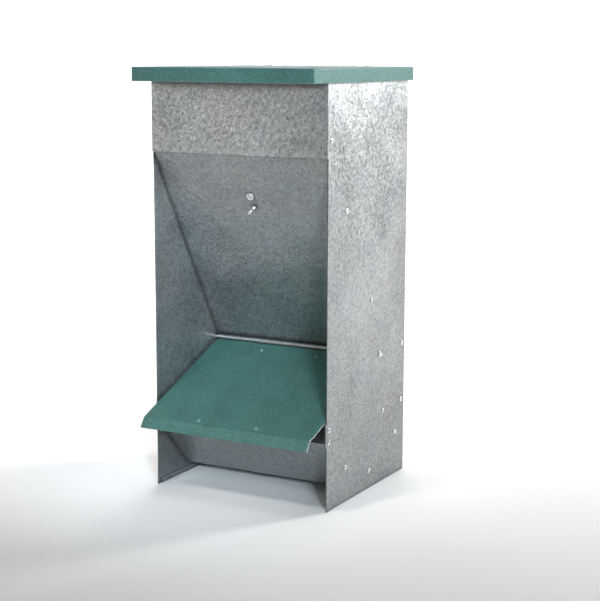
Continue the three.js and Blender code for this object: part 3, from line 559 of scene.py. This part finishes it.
# The flap's rod with its push-on retainers, and the lid's hinge pins. A retainer is a dished ring of thin
# sheet. Its collar is measured from the rod and from the ring's top.
ROD_RADIUS = 2.5
ROD_CHAMFER = 0.5
RETAINER_RIM = [(4.8, 0), (4.8, 0.7), (4.3, 0.95), (3.7, 0.8)]
RETAINER_COLLAR = [(0.6, -0.2), (0.1, 0), (0.1, -0.55), (0.5, -0.85)]
RETAINER_HOLLOW = [(3.6, 0.25), (4.3, 0)]
PIN_RADIUS = 1.75
PIN_HEAD = 2.35
PIN_HEAD_RISE = 0.6
PIN_ROUND = 0.4


def add_rod():
    way = sideways(1)
    base, length = axis_span("flap_rod", way)
    end = length / MM
    profile = [
        (0, 0),
        (ROD_RADIUS - ROD_CHAMFER, 0),
        (ROD_RADIUS, ROD_CHAMFER),
        (ROD_RADIUS, end - ROD_CHAMFER),
        (ROD_RADIUS - ROD_CHAMFER, end),
        (0, end),
    ]
    finish_piece(turn_profile(profile, base, way), "flap_rod")


def add_retainer(side, word):
    node = f"rod_retainer_{word}"
    way = sideways(side)
    base, length = axis_span(node, way)
    collar = [(ROD_RADIUS + radius, length / MM + height) for radius, height in RETAINER_COLLAR]
    profile = RETAINER_RIM + collar + RETAINER_HOLLOW
    finish_piece(turn_profile(profile, base, way), node)


def add_hinge_pin(word):
    node = f"hinge_pin_{word}"
    way = sideways(1)
    base, length = axis_span(node, way)
    end = length / MM
    profile = [
        (0, 0),
        *arc((PIN_HEAD - PIN_ROUND, PIN_ROUND), PIN_ROUND, -90, 0),
        (PIN_HEAD, PIN_HEAD_RISE),
        (PIN_RADIUS, PIN_HEAD_RISE),
        (PIN_RADIUS, end - PIN_HEAD_RISE),
        (PIN_HEAD, end - PIN_HEAD_RISE),
        *arc((PIN_HEAD - PIN_ROUND, end - PIN_ROUND), PIN_ROUND, 0, 90),
        (0, end),
    ]
    finish_piece(turn_profile(profile, base, way), node)


# The gate's bolt, washer and guide stud, and its wing nut
BOLT_RADIUS = 2.5
BOLT_HEAD = 6
BOLT_HEAD_RISE = 3
BOLT_NECK = 1.5
BOLT_DOME_ANGLES = range(0, 91, 10)
THREAD_PITCH = 0.8
THREAD_DEPTH = 0.4
THREAD_STEPS = 6
THREAD_LAP = 0.5
WASHER_RADIUS = 9
WASHER_HOLE = 2.8
WASHER_ROUND = 0.25
STUD_HEAD = 6.6
STUD_HEAD_RISE = 2.4
STUD_WELL = 3
STUD_WELL_ROUND = 0.5
STUD_WELL_FLOOR = 2.7
STUD_TAIL = 5.5
STUD_TAIL_RISE = 1.8
STUD_TAIL_ROUND = 1.2


def turning_way():
    joint = next(joint for joint in frame["joints"] if joint["name"] == "wing_nut_turn")
    return Vector(joint["axis"]).normalized()


def add_bolt(way):
    base, length = axis_span("gate_bolt", way)
    end = length / MM
    shank = BOLT_RADIUS - THREAD_DEPTH
    neck = BOLT_HEAD_RISE + BOLT_NECK
    head = [
        (BOLT_HEAD * math.sin(turn), BOLT_HEAD_RISE * (1 - math.cos(turn)))
        for turn in map(math.radians, BOLT_DOME_ANGLES)
    ]
    profile = [*head, (BOLT_RADIUS, BOLT_HEAD_RISE), (BOLT_RADIUS, neck), (0, neck)]
    mesh = turn_profile(profile, base, way)
    frame_turn = way.to_track_quat("Z", "Y")
    start = neck - THREAD_LAP
    turns = int((end - start) / THREAD_PITCH)
    rows = []
    for row in range(turns * THREAD_STEPS + 1):
        height = start + row * THREAD_PITCH / THREAD_STEPS
        taper = min(1.0, (end - height) / THREAD_PITCH)
        ring = []
        for step in range(FASTENER_SIDES):
            angle = 2 * math.pi * step / FASTENER_SIDES
            phase = (height / THREAD_PITCH - step / FASTENER_SIDES) % 1
            radius = shank + THREAD_DEPTH * (1 - abs(2 * phase - 1)) * taper
            offset = Vector((radius * math.cos(angle), radius * math.sin(angle), height)) * MM
            ring.append(mesh.verts.new(base + frame_turn @ offset))
        rows.append(ring)
    for first, second in zip(rows, rows[1:]):
        for step in range(FASTENER_SIDES):
            after = (step + 1) % FASTENER_SIDES
            mesh.faces.new((first[step], first[after], second[after], second[step]))
    mesh.faces.new(list(reversed(rows[0])))
    mesh.faces.new(rows[-1])
    finish_piece(mesh, "gate_bolt")


def add_washer(way):
    base, length = axis_span("gate_washer", way)
    top = length / MM
    profile = [
        (WASHER_HOLE, FINE_BREAK),
        (WASHER_HOLE + FINE_BREAK, 0),
        (WASHER_RADIUS - WASHER_ROUND, 0),
        (WASHER_RADIUS, WASHER_ROUND),
        (WASHER_RADIUS, top - WASHER_ROUND),
        (WASHER_RADIUS - WASHER_ROUND, top),
        (WASHER_HOLE + FINE_BREAK, top),
        (WASHER_HOLE, top - FINE_BREAK),
    ]
    finish_piece(turn_profile(profile, base, way), "gate_washer")


def add_stud(way):
    base, length = axis_span("gate_guide_stud", way)
    top = length / MM
    rim = STUD_HEAD_RISE / 2
    profile = [
        (0, 0),
        *arc((STUD_TAIL - STUD_TAIL_ROUND, STUD_TAIL_ROUND), STUD_TAIL_ROUND, -90, 0),
        (STUD_TAIL, STUD_TAIL_RISE),
        (BOLT_RADIUS, STUD_TAIL_RISE),
        (BOLT_RADIUS, top - STUD_HEAD_RISE),
        (STUD_HEAD, top - STUD_HEAD_RISE),
        *arc((STUD_HEAD - rim, top - rim), rim, 0, 90, steps=8),
        *arc((STUD_WELL + STUD_WELL_ROUND, top - STUD_WELL_ROUND), STUD_WELL_ROUND, 90, 180, steps=4),
        (STUD_WELL_FLOOR, top - rim),
        (0, top - rim - FINE_BREAK),
    ]
    finish_piece(turn_profile(profile, base, way), "gate_guide_stud")


# Wing nut: a hub and two wings, blended into one casting. A wing's points are pairs of reach and height.
HUB_RADIUS = 4.6
HUB_TOP = 3.6
HUB_RISE = 7
HUB_BORE = 2.7
HUB_COLLAR = 1.4
WING_REACH = 11
WING_RISE = 12
WING_TIP = 3.4
WING_TIP_ARC = (-14, 178)
WING_TIP_STEPS = 10
WING_UNDERSIDE = [(3.1, 0.3), (4.6, 0.3), (9.4, 5.4)]
WING_SADDLE = [(4.4, 7.6), (3.1, 6.6)]
WING_SHEET = 3
WING_END_SHARE = 0.97
CASTING_VOXEL = 0.28
CASTING_SMOOTHING = 5


def wing_outline():
    tip = (WING_REACH - WING_TIP, WING_RISE - WING_TIP)
    return WING_UNDERSIDE + arc(tip, WING_TIP, *WING_TIP_ARC, steps=WING_TIP_STEPS) + WING_SADDLE


def wings_way(node, base, way):
    """The way that one wing points, from the middle of the node's furthest points on that side."""
    spread = []
    for vertex in nodes[node].data.vertices:
        offset = vertex.co - base
        spread.append(offset - way * offset.dot(way))
    reach = max(offset.length for offset in spread)
    tips = [offset for offset in spread if offset.length > WING_END_SHARE * reach and offset.x > 0]
    return (sum(tips, Vector()) / len(tips)).normalized()


def add_wing_nut(way):
    node = "gate_wing_nut"
    base, length = axis_span(node, way)
    hub = [
        (HUB_BORE, 0),
        (HUB_RADIUS, 0),
        (HUB_RADIUS, HUB_COLLAR),
        (HUB_TOP, HUB_RISE),
        (HUB_BORE, HUB_RISE),
    ]
    mesh = turn_profile(hub, base, way)
    along = wings_way(node, base, way)
    thick = way.cross(along)
    outline = wing_outline()
    for side in (-1, 1):
        faces = []
        for half in (-WING_SHEET / 2, WING_SHEET / 2):
            faces.append([
                mesh.verts.new(base + (along * side * across + way * height + thick * half) * MM)
                for across, height in outline
            ])
        mesh.faces.new(faces[0])
        mesh.faces.new(list(reversed(faces[1])))
        for index in range(len(outline)):
            after = (index + 1) % len(outline)
            mesh.faces.new((faces[0][index], faces[0][after], faces[1][after], faces[1][index]))
    piece = finish_piece(mesh, node)
    remesh = piece.modifiers.new("casting", "REMESH")
    remesh.mode = "VOXEL"
    remesh.voxel_size = CASTING_VOXEL * MM
    remesh.use_smooth_shade = True
    smooth = piece.modifiers.new("fillets", "SMOOTH")
    smooth.factor = 0.5
    smooth.iterations = CASTING_SMOOTHING
    depsgraph = bpy.context.evaluated_depsgraph_get()
    cast = bpy.data.meshes.new_from_object(piece.evaluated_get(depsgraph))
    piece.modifiers.clear()
    piece.data = cast


def add_fasteners():
    add_rivets()
    add_rod()
    for side, word in ((-1, "left"), (1, "right")):
        add_retainer(side, word)
        add_hinge_pin(word)
    way = turning_way()
    add_bolt(way)
    add_washer(way)
    add_stud(way)
    add_wing_nut(way)


# Stage: a pale floor that sweeps up behind the feeder, in metres
FLOOR_FRONT = -30
FLOOR_BACK = 2.6
FLOOR_HALF = 30
FLOOR_COLOUR = (0.96, 0.96, 0.96)
FLOOR_ROUGHNESS = 0.9
SWEEP_RADIUS = 0.8
SWEEP_STEPS = 16
WALL_TOP = 5


def floor_material():
    material, tree, shader = new_material("floor")
    put(tree, shader.inputs["Base Color"], FLOOR_COLOUR)
    put(tree, shader.inputs["Roughness"], FLOOR_ROUGHNESS)
    return material


def add_stage():
    profile = [(FLOOR_FRONT, 0), (FLOOR_BACK, 0)]
    for step in range(1, SWEEP_STEPS + 1):
        angle = math.pi / 2 * step / SWEEP_STEPS
        profile.append((FLOOR_BACK + SWEEP_RADIUS * math.sin(angle), SWEEP_RADIUS * (1 - math.cos(angle))))
    profile.append((FLOOR_BACK + SWEEP_RADIUS, WALL_TOP))
    mesh = bmesh.new()
    rows = [[mesh.verts.new((x, y, z)) for x in (-FLOOR_HALF, FLOOR_HALF)] for y, z in profile]
    for (first, second), (third, fourth) in zip(rows, rows[1:]):
        mesh.faces.new((first, second, fourth, third)).smooth = True
    data = bpy.data.meshes.new("floor")
    mesh.to_mesh(data)
    mesh.free()
    data.materials.append(floor_material())
    floor = bpy.data.objects.new("floor", data)
    bpy.context.scene.collection.objects.link(floor)
    floor.rotation_euler = Euler((0, 0, CAMERA_YAW))


# Lights: spots shape the front, areas the side, the top and the backdrop, and the world is bright on the
# left. Places are in metres, powers in watts, and a spot's angle and an area's spread in degrees.
SPOT_BLEND = 0.6


def add_light(name, kind, place, target, power):
    data = bpy.data.lights.new(name, kind)
    data.energy = power
    light = bpy.data.objects.new(name, data)
    light.location = place
    light.rotation_euler = (Vector(target) - Vector(place)).to_track_quat("-Z", "Y").to_euler()
    light.visible_camera = False
    bpy.context.scene.collection.objects.link(light)
    return data


def add_area(name, place, target, power, size, spread=180):
    data = add_light(name, "AREA", place, target, power)
    data.shape = "RECTANGLE"
    data.size, data.size_y = size
    data.spread = math.radians(spread)


def add_spot(name, place, target, power, angle, radius, colour=(1, 1, 1)):
    data = add_light(name, "SPOT", place, target, power)
    data.spot_size = math.radians(angle)
    data.spot_blend = SPOT_BLEND
    data.shadow_soft_size = radius
    data.color = colour


BRIGHT_WAY = Vector((-0.92, -0.38, 0.2)).normalized()
BRIGHT_STRENGTH = 0.64
BRIGHT_FALLOFF = 2
DIM_STRENGTH = 0.045
WORLD_COLOUR = (1.03, 1.0, 0.97)


def add_world():
    world = bpy.data.worlds.new("studio")
    world.use_nodes = True
    tree = world.node_tree
    background = tree.nodes["Background"]
    background.inputs["Color"].default_value = (*WORLD_COLOUR, 1)
    direction = tree.nodes.new("ShaderNodeTexCoord").outputs["Generated"]
    along = vector_math(tree, "DOT_PRODUCT", direction, tuple(BRIGHT_WAY))
    level = math_node(tree, "POWER", math_node(tree, "MAXIMUM", along, 0.0), BRIGHT_FALLOFF)
    level = math_node(tree, "ADD", product(tree, level, BRIGHT_STRENGTH), DIM_STRENGTH)
    tree.links.new(level, background.inputs["Strength"])
    bpy.context.scene.world = world


def add_lights():
    add_spot(
        "fill_light", (1.3, -1.7, 0.9), (-0.17, 0, 0.25),
        power=295, angle=19, radius=0.25, colour=(0.84, 0.98, 1.08),
    )
    add_spot(
        "key_light", (-0.45, -1.4, 1.9), (0, -0.14, 0.14),
        power=54, angle=14, radius=0.14, colour=(1.0, 0.98, 0.95),
    )
    add_area("side_light", (1.9, -0.25, 1.15), (0.15, 0, 0.66), power=1.3, size=(0.8, 0.5), spread=40)
    add_spot(
        "panel_light", (-0.9, -2.0, 0.9), (-0.17, -0.05, 0.6),
        power=80, angle=11, radius=0.3, colour=(1.0, 0.93, 0.9),
    )
    add_area("edge_light", (1.2, 1.7, 1.1), (0.15, 0, 0.85), power=30, size=(0.4, 0.6))
    add_spot("trough_light", (0.06, -0.02, 0.09), (0, 0, 0), power=0.25, angle=150, radius=0.01)
    add_area("top_light", (0, -0.1, 2.7), (0, 0, 0), power=4.5, size=(1.2, 1.2), spread=100)
    add_area("backdrop_light", (1.6, 1.2, 0.9), (1.9, 3.4, 0.7), power=33, size=(1.2, 0.8))
    add_area("drop_light", (-0.2, 1.6, 2.6), (-1.8, 3.4, 0.6), power=110, size=(1.6, 0.6))
    add_world()


add_camera()
add_fasteners()
add_stage()
add_lights()
bpy.context.scene.view_settings.view_transform = "Standard"
